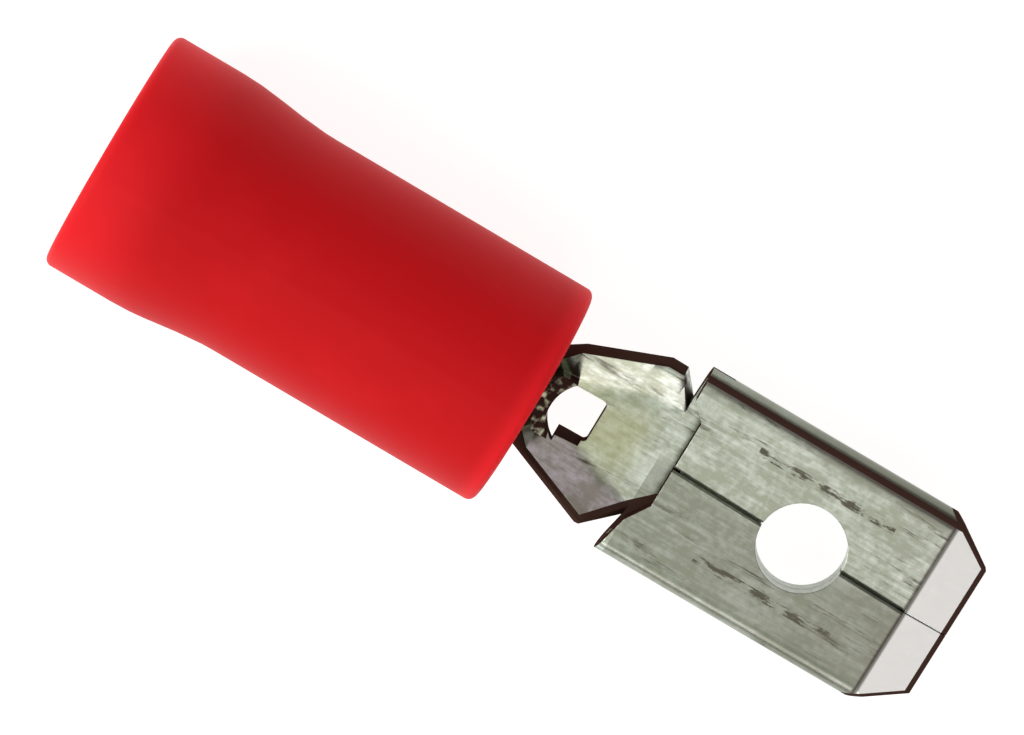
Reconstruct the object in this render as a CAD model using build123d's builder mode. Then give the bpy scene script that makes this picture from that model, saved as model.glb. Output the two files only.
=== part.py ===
from build123d import *
import math
import os

# Insulated male spade terminal for 4.75 x 0.8 mm receptacles, in millimetres and degrees.
# +X runs from the wire entry to the tip of the tab, and +Z is the side that carries the seams.
# The origin is the middle of the bounding box's floor: the sleeve's wide end lies on Z = 0.

# Insulating sleeve
sleeve_length = 10.45
sleeve_diameter = 5.2
sleeve_edge_radius = 0.18
entry_diameter = 5.62
entry_length = 1.65
entry_taper = 2.4
entry_wall = 0.8
entry_flare = 0.2
entry_flare_length = 0.5
funnel_length = 1.0

# Sheet metal, folded and rolled
sheet = 0.39
fold_gap = 0.02
seam_gap = 0.05
seam_groove = 0.15
seam_skew = 1.4

# Wire barrel
barrel_bore = 2.1
barrel_length = 7.2
barrel_chamfer = 0.12
barrel_recess = 0.25
mouth_angle = 98

# Channel and bowl between the barrel and the tab, measured from the sleeve's front face
channel_start = 0.1
channel_angle = 57
throat_start = 0.47
throat_floor_width = 0.2
wide_start = 2.2
bowl_floor_width = 1.58
bowl_bend_radius = 1.05
bowl_wall_angle = 24
bowl_wall = 0.81

# Wire stop and the window that it was lanced from
stop_front = 0.42
stop_curve = 0.95
stop_thickness = 0.3
stop_width = 1.36
stop_height = 0.85
stop_root = 0.1
window_step = 0.86
window_front = 1.52
window_width = 1.0
window_corner = 0.1
window_slope = 0.14

# Relief notches beside the neck, measured from the sleeve's front face
notch_corner = 2.445
notch_apex = 3.035
neck_width = 3.07
neck_edge = 0.05
neck_edge_angle = 2
notch_slope = 0.28
corner_skew = 0.28

# Tab, measured from the sleeve's front face
contact_reach = 10.36
tab_width = 4.75
tab_rear = 3.06
tab_rear_skew = 0.2
flap_rear = 3.43
flap_rear_width = 2.11
flap_step = 3.08
flap_step_width = 3.03
flap_offset = 0.18
hole_diameter = 2.0
hole_from_tip = 3.68
bevel_length = 1.06
bevel_depth = 0.21
coined_seam = 0.02
corner_length = 1.19
corner_width = 0.785

# Clearances
grip_clearance = 0.02
seat_clearance = 0.03
lip_clearance = 0.05

# How far a cutting shape runs past what it cuts
overrun = 0.2

# Positions along X
overall_length = sleeve_length + contact_reach
sleeve_rear = -overall_length / 2
sleeve_front = sleeve_rear + sleeve_length
tip = sleeve_front + contact_reach
barrel_front = sleeve_front - barrel_recess
barrel_rear = barrel_front - barrel_length

# Heights: the tab's underside is level with the underside of the barrel
axis_height = entry_diameter / 2
barrel_radius = barrel_bore / 2 + sheet
sheet_bottom = axis_height - barrel_radius
tab_thickness = 2 * sheet + fold_gap
fold_middle = sheet_bottom + tab_thickness / 2
tab_top = sheet_bottom + tab_thickness
floor_top = sheet_bottom + sheet


def axis_plane(x, turn=0):
    """The plane across the barrel's axis at x, with Y to the right and Z up, its +Y side turned forward."""
    c = math.cos(turn)
    s = math.sin(turn)
    return Plane(origin=(x, 0, axis_height), x_dir=(s, c, 0), z_dir=(c, -s, 0))


def trim(points, bottom, top):
    """Cuts away all that stands over a polygon in plan, between two heights."""
    with BuildSketch(Plane.XY.offset(bottom)) as waste:
        with BuildLine():
            Polyline(*points, close=True)
        make_face()
    extrude(waste.sketch, amount=top - bottom, mode=Mode.SUBTRACT)


# Wire barrel: a rolled tube with a butt seam on top, chamfered for the wire
with BuildPart() as barrel:
    with BuildSketch(axis_plane(barrel_rear)):
        Circle(barrel_radius)
        Circle(barrel_bore / 2, mode=Mode.SUBTRACT)
    extrude(amount=barrel_length)
    rear_rims = barrel.edges().filter_by(GeomType.CIRCLE).group_by(Axis.X)[0]
    chamfer(rear_rims.sort_by(SortBy.RADIUS)[0], barrel_chamfer)
    with BuildSketch(Plane.XY.offset(axis_height)):
        with Locations(((barrel_rear + barrel_front) / 2, 0)):
            Rectangle(2 * barrel_length, seam_gap)
    extrude(amount=2 * barrel_radius, mode=Mode.SUBTRACT)


def tube_section(plane, half_angle):
    """The barrel's section on a plane, open on top beyond an angle from its lowest point."""
    with BuildSketch(plane) as section:
        with BuildLine():
            outer = CenterArc((0, 0), barrel_radius, -90 - half_angle, 2 * half_angle)
            inner = CenterArc((0, 0), barrel_bore / 2, -90 - half_angle, 2 * half_angle)
            Line(outer @ 0, inner @ 0)
            Line(outer @ 1, inner @ 1)
        make_face()
    return section.sketch


def sheet_section(plane, floor_width, bend_radius, wall_angle, wall, slope=0):
    """The sheet's section on a plane: a flat floor, a bend each side and a wall that leans outward."""
    up_the_wall = Vector(math.cos(math.radians(wall_angle)), math.sin(math.radians(wall_angle)))
    with BuildSketch(plane) as section:
        with BuildLine():
            outer_floor = Line((0, -barrel_radius), (floor_width / 2, -barrel_radius))
            outer_bend = JernArc(outer_floor @ 1, (1, 0), bend_radius + sheet, wall_angle)
            outer_wall = Line(outer_bend @ 1, outer_bend @ 1 + up_the_wall * wall)
            inner_floor = Line((0, sheet - barrel_radius), (floor_width / 2 - slope, sheet - barrel_radius))
            inner_bend = JernArc(inner_floor @ 1, (1, 0), bend_radius, wall_angle)
            inner_wall = Line(inner_bend @ 1, inner_bend @ 1 + up_the_wall * wall)
            Line(outer_wall @ 1, inner_wall @ 1)
            mirror(about=Plane.YZ)
        make_face()
    return section.sketch


# Bowl: the tube is cut down to a low channel, which opens into a flat floor with leaning walls
channel_floor = sheet / 10
channel_bend = (barrel_bore - channel_floor) / 2
neck_edge_width = (bowl_bend_radius + sheet) * math.sin(math.radians(neck_edge_angle)) + neck_edge
bowl_half_width = (
    bowl_floor_width / 2
    + (bowl_bend_radius + sheet) * math.sin(math.radians(bowl_wall_angle))
    + bowl_wall * math.cos(math.radians(bowl_wall_angle))
)
neck_end = sleeve_front + notch_apex
stop_x = sleeve_front + stop_front
window_step_x = sleeve_front + window_step
with BuildPart() as bowl:
    leaning = (bowl_bend_radius, bowl_wall_angle, bowl_wall)
    channel_plane = axis_plane(sleeve_front + channel_start)
    mouth = [tube_section(axis_plane(barrel_front), mouth_angle), tube_section(channel_plane, channel_angle)]
    loft(sections=mouth, ruled=True)
    channel = sheet_section(channel_plane, channel_floor, channel_bend, channel_angle, channel_floor)
    throat = sheet_section(axis_plane(sleeve_front + throat_start), throat_floor_width, *leaning)
    wide = sheet_section(axis_plane(sleeve_front + wide_start), bowl_floor_width, *leaning)
    # The walls end at the notches, a little further back on the -Y side, with edges that slope to the neck
    corner_plane = axis_plane(sleeve_front + notch_corner, math.atan(corner_skew / 2 / bowl_half_width))
    corner = sheet_section(corner_plane, bowl_floor_width, *leaning)
    neck_floor = neck_width - 2 * neck_edge_width
    neck = sheet_section(
        axis_plane(neck_end), neck_floor, bowl_bend_radius, neck_edge_angle, neck_edge, notch_slope
    )
    sections = [channel, throat, wide, corner, neck]
    for behind, ahead in zip(sections, sections[1:]):
        loft(sections=[behind, ahead], ruled=True)

    # Wire stop: a curved tongue that stands across the barrel's mouth
    with BuildSketch(Plane.XY.offset(floor_top - stop_root)):
        with Locations((stop_x + stop_curve, 0)):
            Circle(stop_curve + stop_thickness)
            Circle(stop_curve, mode=Mode.SUBTRACT)
        with Locations((stop_x - stop_thickness, 0)):
            Rectangle(2 * stop_curve, stop_width, mode=Mode.INTERSECT)
    extrude(amount=stop_root + stop_height)

    # Window: its back follows the stop and runs out on the -Y side, where its edge slopes
    with BuildSketch(Plane.XY.offset(sheet_bottom - overrun)) as opening:
        with Locations((stop_x + stop_curve, 0)):
            Circle(stop_curve)
        with Locations((window_step_x, window_width / 2)):
            Rectangle(stop_curve, 2 * stop_curve, align=(Align.MAX, Align.MAX), mode=Mode.INTERSECT)
        with Locations((window_step_x, 0)):
            Rectangle(window_front - window_step, window_width, align=(Align.MIN, Align.CENTER))
        fillet(opening.vertices().group_by(Axis.X)[-1], window_corner)
    extrude(amount=2 * sheet + overrun, mode=Mode.SUBTRACT)
    with BuildSketch(axis_plane(window_step_x)):
        with BuildLine():
            Polyline(
                (-window_width / 2, -barrel_radius),
                (-window_width / 2, 2 * sheet - barrel_radius),
                (-window_width / 2 - 2 * window_slope, 2 * sheet - barrel_radius),
                close=True,
            )
        make_face()
    extrude(amount=window_front - window_step - window_corner, mode=Mode.SUBTRACT)

# Tab: the sheet's two edges are folded over to meet at a seam on top
tab_half = tab_width / 2
outside = tab_width
tab_start = sleeve_front + tab_rear - tab_rear_skew - overrun
bevel_start = tip - bevel_length
hole_x = tip - hole_from_tip
flap_rear_x = sleeve_front + flap_rear
flap_step_x = sleeve_front + flap_step
rear_left = sleeve_front + tab_rear
rear_right = rear_left - tab_rear_skew
with BuildPart() as tab:
    with BuildSketch(Plane(origin=(tab_start, 0, fold_middle), x_dir=(0, 1, 0), z_dir=(1, 0, 0))):
        SlotOverall(tab_width, tab_thickness)
        SlotOverall(tab_width - 2 * sheet, fold_gap, mode=Mode.SUBTRACT)
    extrude(amount=tip - tab_start)

    # Rear edges: both layers end at the notches, and the flaps step back to a straight edge at the middle
    rear_edge = [
        (rear_right, -outside),
        (rear_right, -tab_half),
        (neck_end, -neck_width / 2),
        (neck_end, neck_width / 2),
        (rear_left, tab_half),
        (rear_left, outside),
    ]
    trim([(sleeve_front, -outside), *rear_edge, (sleeve_front, outside)], 0, entry_diameter)
    flap_edge = [
        (rear_right, -outside),
        (rear_right, -tab_half),
        (flap_step_x, (flap_offset - flap_step_width) / 2),
        (flap_rear_x, flap_offset - flap_rear_width / 2),
        (flap_rear_x, flap_offset + flap_rear_width / 2),
        (flap_step_x, (flap_offset + flap_step_width) / 2),
        (rear_left, tab_half),
        (rear_left, outside),
    ]
    trim([(sleeve_front, -outside), *flap_edge, (sleeve_front, outside)], fold_middle, entry_diameter)

    # Seam: a fine gap with rolled lips, a little askew, pressed nearly shut in the coined band
    skew = math.radians(-seam_skew)
    along = Vector(math.cos(skew), math.sin(skew), 0)
    across = Vector(-math.sin(skew), math.cos(skew), 0)
    seam_middle = Vector(hole_x, 0, fold_middle)
    seam_back = hole_x - sleeve_front
    seam_front = (bevel_start - hole_x) / math.cos(skew)
    with BuildSketch(Plane(origin=seam_middle, x_dir=along, z_dir=(0, 0, 1))):
        with Locations(((seam_front - seam_back) / 2, 0)):
            Rectangle(seam_front + seam_back, seam_gap)
        with Locations((seam_front, 0)):
            Rectangle(2 * contact_reach - 2 * seam_front, coined_seam)
    extrude(amount=tab_thickness, mode=Mode.SUBTRACT)
    lips_start = Vector(hole_x, 0, tab_top) - along * seam_back
    with BuildSketch(Plane(origin=lips_start, x_dir=across, z_dir=along)):
        with BuildLine():
            Polyline((-seam_groove / 2, 0), (0, -seam_groove / 2), (seam_groove / 2, 0), close=True)
        make_face()
    extrude(amount=seam_front + seam_back, mode=Mode.SUBTRACT)

    # Latch hole through both layers
    with BuildSketch(Plane.XY):
        with Locations((hole_x, 0)):
            Circle(hole_diameter / 2)
    extrude(amount=entry_diameter, mode=Mode.SUBTRACT)

    # Coined tip: both faces slope in, and the corners are cut away
    with BuildSketch(Plane.XZ) as slopes:
        for face_height, inward in ((sheet_bottom, 1), (tab_top, -1)):
            with BuildLine():
                Polyline(
                    (bevel_start, face_height),
                    (tip, face_height + inward * bevel_depth),
                    (tip, face_height),
                    close=True,
                )
            make_face()
    extrude(slopes.sketch, amount=outside, both=True, mode=Mode.SUBTRACT)
    for side in (1, -1):
        shoulder = Vector(tip - corner_length, side * tab_half)
        nose = Vector(tip, side * (tab_half - corner_width))
        run_out = (nose - shoulder) * overrun
        trim([shoulder - run_out, nose + run_out, (tip + corner_length, side * outside)], 0, entry_diameter)

# Contact: barrel, bowl and tab are one piece of sheet
with BuildPart() as contact:
    add(barrel.part)
    add(bowl.part)
    add(tab.part)

# Insulating sleeve: one moulding, gripping the barrel in front and funnelled for the wire behind
grip_radius = barrel_radius + grip_clearance
lip_x = barrel_rear - seat_clearance
lip_radius = barrel_bore / 2 + lip_clearance
entry_radius = entry_diameter / 2 - entry_wall
funnel_x = lip_x - funnel_length
with BuildPart() as insulating_sleeve:
    with BuildSketch(Plane(origin=(0, 0, axis_height), x_dir=(1, 0, 0), z_dir=(0, -1, 0))):
        with BuildLine():
            entry_edge = Line(
                (sleeve_rear, entry_diameter / 2),
                (sleeve_rear + entry_length, entry_diameter / 2),
            )
            taper = Spline(
                entry_edge @ 1,
                (sleeve_rear + entry_length + entry_taper, sleeve_diameter / 2),
                tangents=[(1, 0), (1, 0)],
            )
            Polyline(
                taper @ 1,
                (sleeve_front, sleeve_diameter / 2),
                (sleeve_front, grip_radius),
                (lip_x, grip_radius),
                (lip_x, lip_radius),
                (funnel_x, entry_radius),
                (sleeve_rear + entry_flare_length, entry_radius),
                (sleeve_rear, entry_radius + entry_flare),
                entry_edge @ 0,
            )
        make_face()
    revolve(axis=Axis((0, 0, axis_height), (1, 0, 0)))
    rims = insulating_sleeve.edges().filter_by(GeomType.CIRCLE).sort_by(Axis.X)
    outer_rims = [rims.group_by(Axis.X)[end].sort_by(SortBy.RADIUS)[-1] for end in (0, -1)]
    fillet(outer_rims, sleeve_edge_radius)

contact.part.label = "contact"
insulating_sleeve.part.label = "insulating_sleeve"
os.makedirs("parts", exist_ok=True)
export_step(contact.part, "parts/contact.step")
export_step(insulating_sleeve.part, "parts/insulating_sleeve.step")
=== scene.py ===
import math
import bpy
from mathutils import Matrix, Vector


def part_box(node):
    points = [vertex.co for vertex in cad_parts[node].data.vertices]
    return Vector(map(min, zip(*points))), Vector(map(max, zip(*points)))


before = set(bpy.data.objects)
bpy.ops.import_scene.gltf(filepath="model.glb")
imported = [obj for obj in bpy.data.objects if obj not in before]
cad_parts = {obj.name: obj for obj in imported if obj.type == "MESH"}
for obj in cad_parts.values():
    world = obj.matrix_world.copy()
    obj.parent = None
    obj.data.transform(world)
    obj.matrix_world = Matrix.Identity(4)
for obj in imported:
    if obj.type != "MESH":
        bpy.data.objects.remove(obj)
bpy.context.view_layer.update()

from types import SimpleNamespace

import bpy
from mathutils import Matrix, Vector

bl_info = {
    "name": "Insulated Spade Terminal",
    "version": (1, 0, 0),
    "blender": (4, 5, 0),
    "location": "3D View > Sidebar > Terminal",
    "description": "Finishes a vinyl-insulated, tin-plated male spade terminal and lights it on a pale table",
    "category": "Object",
}

MM = 0.001
SLEEVE_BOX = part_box("insulating_sleeve")
CONTACT_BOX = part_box("contact")
AXIS_HEIGHT = SLEEVE_BOX[1].z / 2

# Where the contact's features lie, seen from above. "Ahead" runs from the sleeve's front towards the tip, and
# "aside" from the middle line to either edge. Lines that run askew have a slope.
THROAT_START, THROAT_SLOPE = 0.77 * MM, 1.05  # the bowl's walls flare quickly out of the barrel
RIM_START, RIM_SLOPE, RIM_END = 1.075 * MM, 0.399, 1.955 * MM  # then slowly, and end straight
RIM_SHADOW_WIDTH = 0.1 * MM  # how much wider a painted shadow band makes the rim's dark line on the -Y side
STOP_REAR, STOP_TOP = 0.11 * MM, 2.35 * MM  # the wire stop, by place and height
WINDOW_REAR, WINDOW_FRONT = 0.5 * MM, 1.6 * MM
BOWL_FRONT, BOWL_SKEW = 2.45 * MM, -0.066
CREASE_AHEAD, CREASE_REACH = 2.2 * MM, 0.4 * MM  # the bowl's widest crease
NOTCH_START, NOTCH_SLOPE = 4.0 * MM, 0.975  # the -Y notch's border on the bowl
FLAP_CUT, LAYER_CUT, CUT_SLOPE = 3.74 * MM, 3.9 * MM, 0.5  # rear cuts of the tab's upper and lower layer
FLAP_TOP = 2.1 * MM  # just under the upper layer's face, by height
TAB_REAR, NECK_FRONT = 3.05 * MM, 3.6 * MM
FOLD_INSIDE = 2.1 * MM  # the +Y fold bends down from here
CORNER_START, CORNER_SLOPE = 1.59 * MM, 0.66  # the cut corners, measured back from the tip
# Widths of the painted dark outlines, standing in for shade, along the tip and its cut corners
TIP_SHADE_LINE, CORNER_SHADE_LINE = 0.12 * MM, 0.09 * MM
BEVEL_LENGTH, BEVEL_START = 1.06 * MM, 9.3 * MM
DRAG_ROW, DRAG_WIDTH = 1.38 * MM, 0.1 * MM  # the rows of drag marks, by place and half width
DRAG_MIDDLE, DRAG_LENGTH = 6.5 * MM, 1.7 * MM  # and by middle and half length

# How much of a face's normal points up
UPRIGHT, SLOPING, FLAT, FACING_UP = 0.15, 0.45, 0.75, 0.1

# Sizes of the patterns. The sleeve's grain and the contact's specks are drawn coarser than the real ones, which are
# a few hundredths of a millimetre wide, so that they show
CLOUD_SIZE = 2 * MM
SKIN_GRAIN, SKIN_DEPTH = MM / 12, 0.004 * MM
SPECK_SIZE = MM / 6
STREAK_STRETCH, STREAK_DEPTH = 0.08, 0.003 * MM  # streaks are 12.5 times as long as wide
SCUFF_LENGTH, SCUFF_WIDTH = MM / 0.35, MM / 3.2
DRAG_MARK_LENGTH, DRAG_MARK_WIDTH = MM / 1.9, MM / 8
LIP_SOFTNESS = 0.15 * MM

LAMP_DISTANCE = 0.3  # metres
TABLE_RINGS = ((0.24, 0), (0.28, 0.003), (0.3, 0.01), (0.31, 0.02))  # radius and height, in metres
TABLE_SIDES = 96

# The photograph's view: its lean from the vertical in degrees, and its width and scale in pixels
LEAN_X, LEAN_Y = -2.936, 11.964
PHOTO_WIDTH, PIXELS_PER_MM = 1024, 46.797
FILM_WIDTH = 36  # millimetres
AIM_BEHIND_FRONT = 0.25 * MM
SLIDE_LEFT, SLIDE_UP = 0.235 * MM, 0.512 * MM


def from_hex(text):
    """An sRGB colour such as #c81e24 as linear red, green and blue."""
    parts = [int(text[i:i + 2], 16) / 255 for i in (1, 3, 5)]
    return tuple(c / 12.92 if c <= 0.04045 else ((c + 0.055) / 1.055) ** 2.4 for c in parts)


def put(tree, kind, inputs=None, give=None, **settings):
    """Adds a node, sets it up, and fills its sockets with values or other nodes' outputs. Returns one output."""
    made = tree.nodes.new(kind)
    for name, value in settings.items():
        setattr(made, name, value)
    for name, value in (inputs or {}).items():
        if isinstance(value, bpy.types.NodeSocket):
            tree.links.new(value, made.inputs[name])
        else:
            made.inputs[name].default_value = value
    outputs = [socket for socket in made.outputs if socket.enabled]
    return made.outputs[give] if give else outputs[0] if outputs else None


def new_material(name):
    """An empty material and its node tree."""
    material = bpy.data.materials.new(name)
    material.use_nodes = True
    material.node_tree.nodes.clear()
    return material, material.node_tree


def dress(node, material):
    """Gives a CAD piece one material in all of its slots."""
    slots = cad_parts[node].material_slots
    if not slots:
        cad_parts[node].data.materials.append(material)
    for slot in slots:
        slot.material = material


class SleeveFinish(bpy.types.PropertyGroup):
    colour: bpy.props.FloatVectorProperty(
        name="Vinyl colour", description="Colour of the moulded sleeve where the barrel is behind it",
        subtype="COLOR", size=3, min=0, max=1, default=from_hex("#c61016"),
    )
    # Painted glow: the brighter red painted near both ends, in place of light passing through the hollow wall
    painted_glow_colour: bpy.props.FloatVectorProperty(
        name="Glow colour", description="Colour at the ends, where light passes through the hollow wall",
        subtype="COLOR", size=3, min=0, max=1, default=from_hex("#e61e25"),
    )
    painted_rear_glow: bpy.props.FloatProperty(
        name="Rear glow", description="How far the wire entry glows before the barrel darkens it",
        subtype="DISTANCE", unit="LENGTH", min=0, default=2.3 * MM,
    )
    painted_front_glow: bpy.props.FloatProperty(
        name="Front glow", description="How far the front lip glows",
        subtype="DISTANCE", unit="LENGTH", min=0, default=0.6 * MM,
    )


class ContactFinish(bpy.types.PropertyGroup):
    plating: bpy.props.FloatVectorProperty(
        name="Plating colour", description="Colour of the tin plating on the flat faces",
        subtype="COLOR", size=3, min=0, max=1, default=from_hex("#d8e4da"),
    )
    dull_plating: bpy.props.FloatVectorProperty(
        name="Dull plating colour", description="Colour of the plating where it is stained",
        subtype="COLOR", size=3, min=0, max=1, default=from_hex("#a6af9d"),
    )
    # The bowl's middle is tinted towards this colour, darker and yellower
    bowl_yellowing_colour: bpy.props.FloatVectorProperty(
        name="Press oil colour", description="Tint of the oil that stays in the bowl",
        subtype="COLOR", size=3, min=0, max=1, default=from_hex("#a9ad72"),
    )
    # Painted shade: the colour that darkens the -Y flap, the blade towards its tip, the +Y fold and the bowl's -Y wall
    painted_shade_colour: bpy.props.FloatVectorProperty(
        name="Worn plating colour", description="Colour that wear pulls the plating towards",
        subtype="COLOR", size=3, min=0, max=1, default=from_hex("#74776a"),
    )
    scratch: bpy.props.FloatVectorProperty(
        name="Scratch colour", description="Colour of the scuffs and drag marks",
        subtype="COLOR", size=3, min=0, max=1, default=from_hex("#5c5c50"),
    )
    # Painted shade: this dark brown is both the bare brass of the cut edges and the painted shade and dark reflections
    # along rims, notches, folds, the tip and the bevel's crease
    bare_edge_and_shade: bpy.props.FloatVectorProperty(
        name="Cut edge colour", description="Colour of the sheet's cut edges, where the plating was sheared off",
        subtype="COLOR", size=3, min=0, max=1, default=from_hex("#402e27"),
    )
    streak_width: bpy.props.FloatProperty(
        name="Streak width", description="Width of the rolling streaks along the blade",
        subtype="DISTANCE", unit="LENGTH", min=0.01 * MM, default=0.1 * MM,
    )
    stain_size: bpy.props.FloatProperty(
        name="Stain size", description="Size of the dull patches in the plating",
        subtype="DISTANCE", unit="LENGTH", min=0.1 * MM, default=1.2 * MM,
    )
    bowl_softness: bpy.props.FloatProperty(
        name="Bowl softness", description="How round the creases of the bowl look",
        subtype="DISTANCE", unit="LENGTH", min=0, default=0.3 * MM,
    )
    edge_softness: bpy.props.FloatProperty(
        name="Edge softness", description="How round the edges of the tab look",
        subtype="DISTANCE", unit="LENGTH", min=0, default=0.03 * MM,
    )


class StudioSettings(bpy.types.PropertyGroup):
    floor_colour: bpy.props.FloatVectorProperty(
        name="Table colour", description="Colour of the light that the table gives",
        subtype="COLOR", size=3, min=0, max=1, default=from_hex("#fffefd"),
    )
    key_brightness: bpy.props.FloatProperty(
        name="Key brightness", description="Brightness of the key box's face",
        min=0, default=6.2,
    )
    camera_distance: bpy.props.FloatProperty(
        name="Camera distance", description="From the camera to the sleeve's axis",
        subtype="DISTANCE", unit="LENGTH", min=0.05, default=120 * MM,
    )
    camera_roll: bpy.props.FloatProperty(
        name="Camera roll", description="Turn of the camera about its own line of sight",
        subtype="ANGLE", unit="ROTATION", default=math.radians(30.54),
    )


class TERMINAL_OT_sleeve(bpy.types.Operator):
    """Finish the insulating sleeve in moulded vinyl"""

    bl_idname = "terminal.sleeve"
    bl_label = "Vinyl Sleeve"

    def execute(self, context):
        finish = context.scene.terminal_sleeve
        # Plasticised vinyl, injection moulded: satin and slightly see-through, with a random cloudy tone. Both ends
        # have a painted glow, a brighter red standing in for light that passes through the hollow wall where nothing
        # dark is behind it
        vinyl, tree = new_material("moulded_red_vinyl")
        place = put(tree, "ShaderNodeTexCoord", give="Object")
        along = put(tree, "ShaderNodeSeparateXYZ", {"Vector": place}, give="X")
        cloud = put(tree, "ShaderNodeTexNoise", {
            "Vector": place, "Scale": 1 / CLOUD_SIZE, "Detail": 3, "Roughness": 0.6,
        })
        amount = put(tree, "ShaderNodeMapRange", {
            "Value": cloud, "From Min": 0.3, "From Max": 0.7, "To Min": -0.12, "To Max": 0.12,
        })
        # Painted glow: towards both ends the colour turns to the painted glow colour
        for end, inward in ((SLEEVE_BOX[0].x, finish.painted_rear_glow), (SLEEVE_BOX[1].x, -finish.painted_front_glow)):
            near = put(tree, "ShaderNodeMapRange", {
                "Value": along, "From Min": end + inward, "From Max": end,
            }, interpolation_type="SMOOTHSTEP")
            amount = put(tree, "ShaderNodeMath", {0: amount, 1: near}, operation="ADD", use_clamp=True)
        colour = put(tree, "ShaderNodeMix", {
            "Factor": amount, "A": (*finish.colour, 1), "B": (*finish.painted_glow_colour, 1),
        }, data_type="RGBA")
        # The mould was spark-eroded, so the skin has a fine grain, drawn coarser than the real one so that it shows
        grain = put(tree, "ShaderNodeTexNoise", {"Vector": place, "Scale": 1 / SKIN_GRAIN, "Detail": 2})
        rounded = put(tree, "ShaderNodeBevel", {"Radius": LIP_SOFTNESS}, samples=6)
        bump = put(tree, "ShaderNodeBump", {
            "Height": grain, "Normal": rounded, "Strength": 0.2, "Distance": SKIN_DEPTH,
        })
        shader = put(tree, "ShaderNodeBsdfPrincipled", {
            "Base Color": colour,
            "Normal": bump,
            "Roughness": 0.55,
            "IOR": 1.53,
            "Specular IOR Level": 0.1,
            "Subsurface Weight": 0.2,
            "Subsurface Radius": (1.0, 0.15, 0.1),
            "Subsurface Scale": 0.5 * MM,
        })
        put(tree, "ShaderNodeOutputMaterial", {"Surface": shader})
        dress("insulating_sleeve", vinyl)
        return {"FINISHED"}


def find_places(tree):
    """Where a point of the contact lies and which way it faces, as outputs that its finishes share."""
    at = SimpleNamespace(point=put(tree, "ShaderNodeTexCoord", give="Object"))
    at.along, at.across, at.height = (
        put(tree, "ShaderNodeSeparateXYZ", {"Vector": at.point}, give=axis) for axis in "XYZ"
    )
    faced = put(tree, "ShaderNodeNewGeometry", give="True Normal")
    at.up = put(tree, "ShaderNodeSeparateXYZ", {"Vector": faced}, give="Z")
    at.ahead = put(tree, "ShaderNodeMath", {0: at.along, 1: SLEEVE_BOX[1].x}, operation="SUBTRACT")
    at.aside = put(tree, "ShaderNodeMath", {0: at.across}, operation="ABSOLUTE")
    at.askew = put(tree, "ShaderNodeMath", {0: at.across, 1: BOWL_SKEW, 2: at.ahead}, operation="MULTIPLY_ADD")
    at.in_bowl = put(tree, "ShaderNodeMath", {0: at.askew, 1: BOWL_FRONT}, operation="LESS_THAN")
    at.behind_bevel = put(tree, "ShaderNodeMath", {0: at.ahead, 1: BEVEL_START}, operation="LESS_THAN")
    at.speck = put(tree, "ShaderNodeTexNoise", {"Vector": at.point, "Scale": 1 / SPECK_SIZE, "Detail": 3})
    return at


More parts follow.
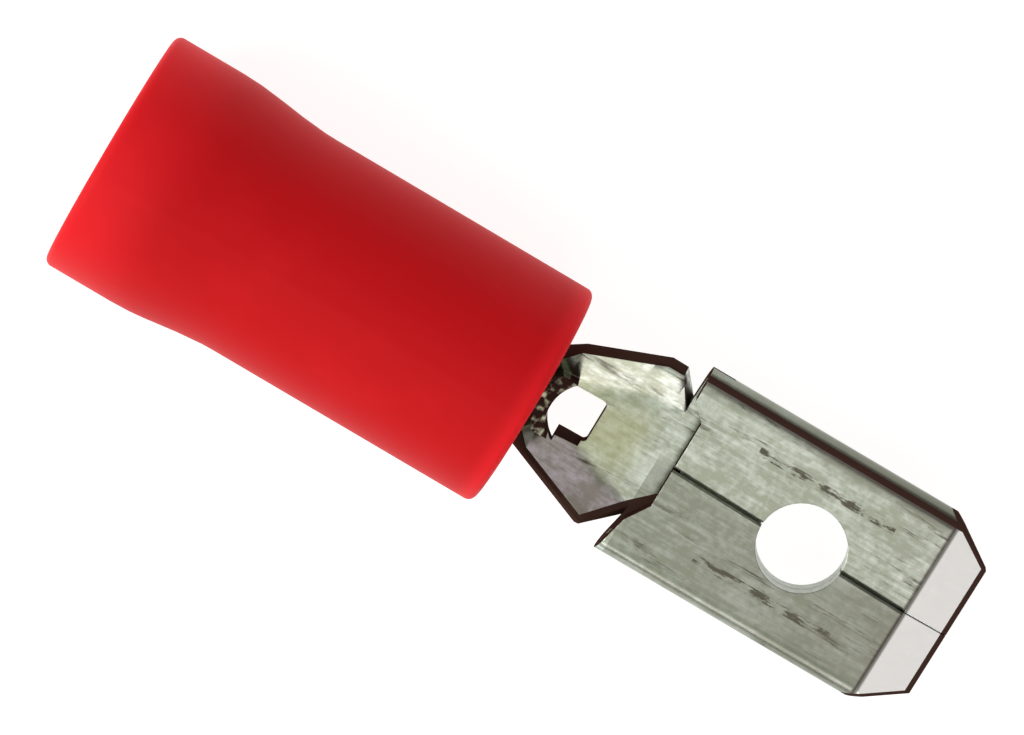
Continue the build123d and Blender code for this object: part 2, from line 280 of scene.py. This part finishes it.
def bare_brass_and_shade(tree, at):
    """Where the cut edges are bare brass, painted dark as if in shade, and where painted shade and painted dark
    reflections lie along notches, folds, the tip and the bevel's crease, from 0 to 1.
    """
    # The bowl's rims, widened on the -Y side by a painted shadow band
    rim_line = put(tree, "ShaderNodeMath", {0: at.ahead, 1: RIM_SLOPE, 2: RIM_START}, operation="MULTIPLY_ADD")
    rim_line = put(tree, "ShaderNodeMath", {0: rim_line, 1: RIM_END}, operation="MINIMUM")
    throat_line = put(tree, "ShaderNodeMath", {
        0: at.ahead, 1: THROAT_SLOPE, 2: THROAT_START,
    }, operation="MULTIPLY_ADD")
    rim_line = put(tree, "ShaderNodeMath", {0: rim_line, 1: throat_line}, operation="MINIMUM")
    rim_shadow = put(tree, "ShaderNodeMapRange", {
        "Value": at.across, "From Min": -0.5 * MM, "From Max": 0, "To Min": -RIM_SHADOW_WIDTH, "To Max": 0,
    })
    rim_line = put(tree, "ShaderNodeMath", {0: rim_line, 1: rim_shadow}, operation="ADD")
    # How far a point lies behind the tip, inside the corner cuts and away from the bevel's crease
    behind_tip = put(tree, "ShaderNodeMath", {0: CONTACT_BOX[1].x, 1: at.along}, operation="SUBTRACT")
    corner_line = put(tree, "ShaderNodeMath", {
        0: behind_tip, 1: CORNER_SLOPE, 2: CORNER_START,
    }, operation="MULTIPLY_ADD")
    in_corner = put(tree, "ShaderNodeMath", {0: corner_line, 1: at.aside}, operation="SUBTRACT")
    from_bevel = put(tree, "ShaderNodeMath", {0: behind_tip, 1: BEVEL_LENGTH}, operation="SUBTRACT")
    from_bevel = put(tree, "ShaderNodeMath", {0: from_bevel}, operation="ABSOLUTE")
    crease_shade = put(tree, "ShaderNodeMapRange", {
        "Value": from_bevel, "From Min": 0.03 * MM, "From Max": 0.08 * MM, "To Min": 0.75, "To Max": 0,
    })
    chipped = put(tree, "ShaderNodeMapRange", {"Value": at.speck, "From Min": 0.34, "From Max": 0.5})
    notch_line = put(tree, "ShaderNodeMath", {0: at.ahead, 1: NOTCH_SLOPE, 2: at.aside}, operation="MULTIPLY_ADD")
    cut_line = put(tree, "ShaderNodeMath", {0: at.aside, 1: CUT_SLOPE, 2: at.ahead}, operation="MULTIPLY_ADD")
    steep = put(tree, "ShaderNodeMath", {0: at.up}, operation="ABSOLUTE")
    over, under, times = "GREATER_THAN", "LESS_THAN", "MULTIPLY"
    masks = (
        # The rims of the bowl, bare cut edges painted dark as a dark reflection, and, chipped, the top of the wire stop
        ((at.aside, over, rim_line), (at.up, over, FACING_UP), (at.in_bowl, times, 1)),
        ((at.height, over, STOP_TOP), (at.ahead, over, STOP_REAR), (chipped, times, 1)),
        # The upright edges from the window to the neck, and the window's drawn edge: cut faces painted dark as if in
        # shade
        ((steep, under, UPRIGHT), (at.ahead, over, WINDOW_REAR), (at.ahead, under, NECK_FRONT)),
        ((steep, under, SLOPING), (at.ahead, over, WINDOW_REAR), (at.ahead, under, WINDOW_FRONT)),
        # A painted shadow band along the -Y notch, down to the tab's lower layer
        ((notch_line, over, NOTCH_START), (at.across, under, 0), (cut_line, under, FLAP_CUT)),
        ((notch_line, over, NOTCH_START), (at.across, under, 0), (cut_line, under, LAYER_CUT),
         (at.height, under, FLAP_TOP)),
        # Painted dark outlines along the tip and its corners, and painted shade in the bevel's crease
        ((behind_tip, under, TIP_SHADE_LINE),),
        ((in_corner, under, CORNER_SHADE_LINE), (at.ahead, over, TAB_REAR)),
        ((crease_shade, times, 1), (at.up, over, FACING_UP)),
        # A painted dark reflection on the outside of the +Y fold
        ((at.across, over, FOLD_INSIDE), (at.up, over, FLAT), (at.ahead, over, TAB_REAR)),
    )
    bare_and_shade = 0.0
    for tests in masks:
        whole = 1.0
        for value, operation, limit in tests:
            passed = put(tree, "ShaderNodeMath", {0: value, 1: limit}, operation=operation)
            whole = put(tree, "ShaderNodeMath", {0: whole, 1: passed}, operation="MULTIPLY")
        bare_and_shade = put(tree, "ShaderNodeMath", {0: bare_and_shade, 1: whole}, operation="MAXIMUM")
    return bare_and_shade


def painted_shade(tree, at):
    """How much painted shade darkens the plating, from 0 to 1."""
    shade_amount = 0.0
    for value, start, end, at_start, at_end in (
        # Painted shade on the flap on the -Y side, which is darker than the other
        (at.across, -0.2 * MM, 0.2 * MM, 0.5, 0),
        # Painted shade that darkens the blade towards its tip
        (at.ahead, 4 * MM, 9 * MM, 0, 0.22),
        # A painted dark reflection along the +Y fold
        (at.across, 1.8 * MM, 2.12 * MM, 0, 0.8),
    ):
        more = put(tree, "ShaderNodeMapRange", {
            "Value": value, "From Min": start, "From Max": end, "To Min": at_start, "To Max": at_end,
        })
        shade_amount = put(tree, "ShaderNodeMath", {0: shade_amount, 1: more}, operation="ADD")
    on_tab = put(tree, "ShaderNodeMath", {0: at.ahead, 1: TAB_REAR}, operation="GREATER_THAN")
    shade_amount = put(tree, "ShaderNodeMath", {0: shade_amount, 1: on_tab}, operation="MULTIPLY")
    # Painted shade darkens the bowl's -Y wall towards its rim
    wall_shade = put(tree, "ShaderNodeMapRange", {
        "Value": at.across, "From Min": -1.3 * MM, "From Max": -2.1 * MM, "To Min": 0, "To Max": 0.6,
    })
    wall_shade = put(tree, "ShaderNodeMath", {0: wall_shade, 1: at.in_bowl}, operation="MULTIPLY")
    shade_amount = put(tree, "ShaderNodeMath", {0: shade_amount, 1: wall_shade}, operation="ADD")
    # No painted shade on the coined bevel at the tip
    return put(tree, "ShaderNodeMath", {0: shade_amount, 1: at.behind_bevel}, operation="MULTIPLY")


def stained_plating(tree, at, grain, finish):
    """How dull the plating is, from 0 to 1: patches, streaks and fine mottling, and none on the bevel."""
    stain = put(tree, "ShaderNodeTexNoise", {
        "Vector": at.point, "Scale": 1 / finish.stain_size, "Detail": 4, "Roughness": 0.65, "Distortion": 0.4,
    })
    dull = put(tree, "ShaderNodeMapRange", {"Value": stain, "From Min": 0.35, "From Max": 0.65, "To Max": 0.7})
    streaked = put(tree, "ShaderNodeMapRange", {"Value": grain, "From Min": 0.35, "From Max": 0.7, "To Max": 0.8})
    mottled = put(tree, "ShaderNodeMapRange", {
        "Value": at.speck, "From Min": 0.3, "From Max": 0.7, "To Min": -0.25, "To Max": 0.35,
    })
    for more in (streaked, mottled):
        dull = put(tree, "ShaderNodeMath", {0: dull, 1: more}, operation="ADD", use_clamp=True)
    return put(tree, "ShaderNodeMath", {0: dull, 1: at.behind_bevel}, operation="MULTIPLY")


def bowl_yellowing(tree, at):
    """How much the middle of the bowl is tinted darker and yellower, from 0 to 1, most towards the barrel and the
    middle line.
    """
    yellowing = put(tree, "ShaderNodeMapRange", {
        "Value": at.ahead, "From Min": 2.2 * MM, "From Max": 3 * MM, "To Min": 0.5, "To Max": 0,
    }, interpolation_type="SMOOTHSTEP")
    inner = put(tree, "ShaderNodeMapRange", {
        "Value": at.aside, "From Min": 0.2 * MM, "From Max": 1.1 * MM, "To Min": 1, "To Max": 0.2,
    }, interpolation_type="SMOOTHSTEP")
    return put(tree, "ShaderNodeMath", {0: yellowing, 1: inner}, operation="MULTIPLY")


def scratches(tree, at):
    """Where the plating is scratched, from 0 to 1: scuffs along the strip, and the marks of the feed rollers."""
    marks = put(tree, "ShaderNodeMapping", {
        "Vector": at.point, "Location": (0.12, 0.31, 0.2), "Scale": (1 / SCUFF_LENGTH, 1 / SCUFF_WIDTH, 1 / MM),
    })
    scuff = put(tree, "ShaderNodeTexNoise", {
        "Vector": marks, "Scale": 1, "Detail": 6, "Roughness": 0.75, "Distortion": 0.3,
    })
    scratched = put(tree, "ShaderNodeMapRange", {
        "Value": scuff, "From Min": 0.57, "From Max": 0.66, "To Max": 0.9,
    })
    scratched = put(tree, "ShaderNodeMath", {0: scratched, 1: at.behind_bevel}, operation="MULTIPLY")
    # The rollers left a row of short drag marks on each flap
    feed = put(tree, "ShaderNodeMapping", {
        "Vector": at.point, "Scale": (1 / DRAG_MARK_LENGTH, 1 / DRAG_MARK_WIDTH, 1 / MM),
    })
    feed = put(tree, "ShaderNodeTexNoise", {"Vector": feed, "Scale": 1, "Detail": 4, "Roughness": 0.7})
    feed = put(tree, "ShaderNodeMapRange", {"Value": feed, "From Min": 0.46, "From Max": 0.54})
    in_row = put(tree, "ShaderNodeMath", {0: at.aside, 1: DRAG_ROW, 2: DRAG_WIDTH}, operation="COMPARE")
    on_length = put(tree, "ShaderNodeMath", {0: at.ahead, 1: DRAG_MIDDLE, 2: DRAG_LENGTH}, operation="COMPARE")
    for part in (in_row, on_length):
        feed = put(tree, "ShaderNodeMath", {0: feed, 1: part}, operation="MULTIPLY")
    return put(tree, "ShaderNodeMath", {0: scratched, 1: feed}, operation="MAXIMUM")


class TERMINAL_OT_contact(bpy.types.Operator):
    """Finish the folded contact in tin-plated brass"""

    bl_idname = "terminal.contact"
    bl_label = "Tinned Contact"

    def execute(self, context):
        finish = context.scene.terminal_contact
        # Electroplated tin over brass strip: a grey mirror made soft by rolling marks, with bare cut edges. Painted
        # shade and painted dark reflections darken it along edges, notches, folds and in the bowl
        tin, tree = new_material("tin_plated_brass")
        at = find_places(tree)
        bare_and_shade = bare_brass_and_shade(tree, at)
        # Rolling streaks run along the strip; the finest real ones are drawn a little coarser, so that they show
        streaks = put(tree, "ShaderNodeMapping", {
            "Vector": at.point,
            "Scale": (STREAK_STRETCH / finish.streak_width, 1 / finish.streak_width, 1 / finish.streak_width),
        })
        grain = put(tree, "ShaderNodeTexNoise", {"Vector": streaks, "Scale": 1, "Detail": 5, "Roughness": 0.7})

        colour = (*finish.plating, 1)
        for amount, tint in (
            (stained_plating(tree, at, grain, finish), finish.dull_plating),
            (painted_shade(tree, at), finish.painted_shade_colour),
            (bowl_yellowing(tree, at), finish.bowl_yellowing_colour),
            (scratches(tree, at), finish.scratch),
            (bare_and_shade, finish.bare_edge_and_shade),
        ):
            colour = put(tree, "ShaderNodeMix", {"Factor": amount, "A": colour, "B": (*tint, 1)}, data_type="RGBA")
        # The sheared edge is torn and oxidised, so it hardly shines, and the painted shade lines of the same mask are
        # made as rough and dull
        rough = put(tree, "ShaderNodeMath", {0: grain, 1: 0.16, 2: 0.22}, operation="MULTIPLY_ADD")
        rough = put(tree, "ShaderNodeMath", {0: bare_and_shade, 1: 0.4, 2: rough}, operation="MULTIPLY_ADD")
        shiny = put(tree, "ShaderNodeMath", {0: 1, 1: bare_and_shade}, operation="SUBTRACT")
        specular = put(tree, "ShaderNodeMath", {0: shiny, 1: 0.5}, operation="MULTIPLY")
        # Drawing left the bowl's widest crease round, and the other edges only a little
        at_crease = put(tree, "ShaderNodeMath", {0: at.askew, 1: CREASE_AHEAD, 2: CREASE_REACH}, operation="COMPARE")
        softness = put(tree, "ShaderNodeMapRange", {
            "Value": at_crease, "To Min": finish.edge_softness, "To Max": finish.bowl_softness,
        })
        rounded = put(tree, "ShaderNodeBevel", {"Radius": softness}, samples=8)
        bump = put(tree, "ShaderNodeBump", {
            "Height": grain, "Normal": rounded, "Strength": 0.35, "Distance": STREAK_DEPTH,
        })
        shader = put(tree, "ShaderNodeBsdfPrincipled", {
            "Base Color": colour, "Normal": bump, "Metallic": shiny, "Roughness": rough, "Specular IOR Level": specular,
        })
        put(tree, "ShaderNodeOutputMaterial", {"Surface": shader})
        dress("contact", tin)
        return {"FINISHED"}


class TERMINAL_OT_stage(bpy.types.Operator):
    """Set the table, the soft boxes and the camera"""

    bl_idname = "terminal.stage"
    bl_label = "Table and Light"

    def execute(self, context):
        studio = context.scene.terminal_studio

        # A round light table whose rim curves up a little
        sides = range(TABLE_SIDES)
        turns = [2 * math.pi * i / TABLE_SIDES for i in sides]
        after = [(i + 1) % TABLE_SIDES for i in sides]
        points, faces = [(0, 0, 0)], [(0, 1 + i, 1 + after[i]) for i in sides]
        for radius, height in TABLE_RINGS:
            points += [(radius * math.cos(turn), radius * math.sin(turn), height) for turn in turns]
        for ring in range(len(TABLE_RINGS) - 1):
            low, high = 1 + ring * TABLE_SIDES, 1 + (ring + 1) * TABLE_SIDES
            faces += [(low + i, low + after[i], high + after[i], high + i) for i in sides]
        mesh = bpy.data.meshes.new("table")
        mesh.from_pydata(points, [], faces)
        mesh.polygons.foreach_set("use_smooth", [True] * len(faces))
        table = bpy.data.objects.new("table", mesh)
        context.collection.objects.link(table)
        # Opal acrylic lit from below: most of what it gives is its own light, so shadows on it stay faint
        opal, tree = new_material("opal_acrylic")
        shader = put(tree, "ShaderNodeBsdfPrincipled", {
            "Base Color": (0.25, 0.25, 0.25, 1),
            "Roughness": 0.6,
            "IOR": 1.49,
            "Emission Color": (*studio.floor_colour, 1),
            "Emission Strength": 0.9,
        })
        put(tree, "ShaderNodeOutputMaterial", {"Surface": shader})
        mesh.materials.append(opal)

        world = bpy.data.worlds.new("studio")
        world.use_nodes = True
        world.node_tree.nodes.clear()
        sky = put(world.node_tree, "ShaderNodeBackground", {"Color": (*from_hex("#fff2f0"), 1), "Strength": 0.2})
        put(world.node_tree, "ShaderNodeOutputWorld", {"Surface": sky})
        context.scene.world = world

        # Soft boxes that face the terminal: two leans from the vertical and two spans, in degrees, and what they give
        for name, lean_x, lean_y, width, height, radiance, colour in (
            ("top_box", 0, -22, 50, 60, 0.53, "#fafff2"),
            ("key_box", -42, -28, 32, 30, studio.key_brightness, "#ffffff"),
            ("rear_box", -45, 32, 30, 26, 0.2 * studio.key_brightness, "#ffffff"),
            ("tip_box", 32, -14, 22, 50, 0.97, "#ffeaf6"),
            ("back_box", 14, 36, 60, 24, 0.6, "#e6c8e4"),
            ("side_box", 26, -60, 40, 16, 2.4, "#fff4f8"),
        ):
            direction = Vector((math.tan(math.radians(lean_x)), math.tan(math.radians(lean_y)), 1)).normalized()
            lamp = bpy.data.lights.new(name, "AREA")
            lamp.shape = "RECTANGLE"
            lamp.size, lamp.size_y = (
                2 * LAMP_DISTANCE * math.tan(math.radians(span / 2)) for span in (width, height)
            )
            lamp.energy = radiance * math.pi * lamp.size * lamp.size_y
            lamp.color = from_hex(colour)
            made = bpy.data.objects.new(name, lamp)
            made.location = direction * LAMP_DISTANCE
            made.rotation_euler = direction.to_track_quat("Z", "Y").to_euler()
            context.collection.objects.link(made)

        # The camera looks almost straight down on the seam side
        aim = Vector((SLEEVE_BOX[1].x - AIM_BEHIND_FRONT, 0, AXIS_HEIGHT))
        view = -Vector((math.sin(math.radians(LEAN_X)), math.sin(math.radians(LEAN_Y)), 1)).normalized()
        right = (Vector((1, 0, 0)) - view * view.x).normalized()
        up = right.cross(view)
        cosine, sine = math.cos(studio.camera_roll), math.sin(studio.camera_roll)
        right, up = cosine * right + sine * up, cosine * up - sine * right
        data = bpy.data.cameras.new("camera")
        data.sensor_width = FILM_WIDTH
        data.lens = FILM_WIDTH / PHOTO_WIDTH * PIXELS_PER_MM / MM * studio.camera_distance
        data.clip_start = 0.01
        camera = bpy.data.objects.new("camera", data)
        where = aim - view * studio.camera_distance - right * SLIDE_LEFT + up * SLIDE_UP
        camera.matrix_world = Matrix.Translation(where) @ Matrix((right, up, -view)).transposed().to_4x4()
        context.collection.objects.link(camera)
        context.scene.camera = camera
        context.scene.view_settings.view_transform = "Standard"
        return {"FINISHED"}


class TERMINAL_PT_panel(bpy.types.Panel):
    """Sizes, colours and buttons of the terminal"""

    bl_idname = "TERMINAL_PT_panel"
    bl_label = "Spade Terminal"
    bl_space_type = "VIEW_3D"
    bl_region_type = "UI"
    bl_category = "Terminal"

    def draw(self, context):
        scene = context.scene
        for settings, operator in (
            (scene.terminal_sleeve, TERMINAL_OT_sleeve),
            (scene.terminal_contact, TERMINAL_OT_contact),
            (scene.terminal_studio, TERMINAL_OT_stage),
        ):
            box = self.layout.box()
            for name in settings.__annotations__:
                box.prop(settings, name)
            box.operator(operator.bl_idname)


CLASSES = (
    SleeveFinish, ContactFinish, StudioSettings,
    TERMINAL_OT_sleeve, TERMINAL_OT_contact, TERMINAL_OT_stage, TERMINAL_PT_panel,
)


def register():
    for cls in CLASSES:
        bpy.utils.register_class(cls)
    bpy.types.Scene.terminal_sleeve = bpy.props.PointerProperty(type=SleeveFinish)
    bpy.types.Scene.terminal_contact = bpy.props.PointerProperty(type=ContactFinish)
    bpy.types.Scene.terminal_studio = bpy.props.PointerProperty(type=StudioSettings)


def unregister():
    del bpy.types.Scene.terminal_studio
    del bpy.types.Scene.terminal_contact
    del bpy.types.Scene.terminal_sleeve
    for cls in reversed(CLASSES):
        bpy.utils.unregister_class(cls)


def main():
    """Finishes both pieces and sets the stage."""
    register()
    bpy.ops.terminal.sleeve()
    bpy.ops.terminal.contact()
    bpy.ops.terminal.stage()


if __name__ == "__main__":
    main()
